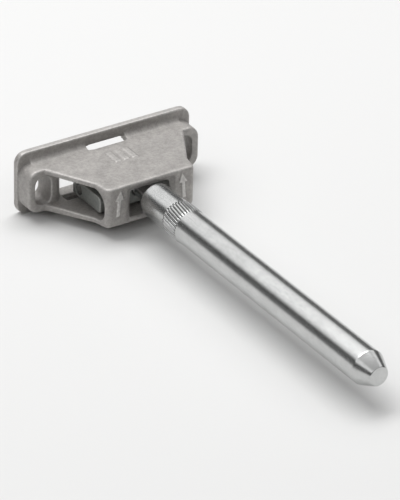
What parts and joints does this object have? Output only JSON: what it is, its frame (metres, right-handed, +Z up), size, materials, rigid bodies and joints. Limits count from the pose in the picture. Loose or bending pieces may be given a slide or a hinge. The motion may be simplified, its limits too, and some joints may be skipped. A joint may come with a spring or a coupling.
{
  "type": "concealed shelf support",
  "caption": "Cast wall housing with a steel pin standing out of it: screws to a wall and holds a floating shelf that slides over the pin. The pin tilts and shifts sideways for levelling.",
  "frame": {"origin": "in the wall plane, straight behind the middle of the pin", "axes": "+Y into the wall, the pin along -Y, +X to the right along the wall seen from the front, +Z up"},
  "size_m": [0.0674, 0.161, 0.0228],
  "materials": {
    "zinc_casting": "satin",
    "zinc_plated_steel": "satin",
    "dark_steel": "satin"
  },
  "bodies": {
    "wall_housing": {"housing": "zinc_casting"},
    "axle_set": {"cross_axle": "zinc_plated_steel", "axle_clip_left": "dark_steel", "axle_clip_right": "dark_steel"},
    "carrier_set": {"pin_carrier": "zinc_casting", "support_pin": "zinc_plated_steel", "pin_lock_screw": "dark_steel"},
    "tilt_screw_body": {"tilt_screw": "dark_steel"}
  },
  "joints": [
    {"name": "side_adjust", "type": "slide", "parent": "wall_housing", "child": "axle_set", "axis": [1, 0, 0], "range_m": [-0.003, 0.003]},
    {"name": "tilt_adjust", "type": "hinge", "parent": "axle_set", "child": "carrier_set", "pos_m": [0, -0.0113, -0.0028], "axis": [-1, 0, 0], "range_deg": [-2, 2]},
    {"name": "tilt_screw_travel", "type": "slide", "parent": "wall_housing", "child": "tilt_screw_body", "axis": [0, 0, 1], "range_m": [-0.00034, 0.00034]}
  ],
  "couplings": [
    {"joint": "tilt_screw_travel", "follows": "tilt_adjust", "m_per_rad": 0.0092}
  ]
}
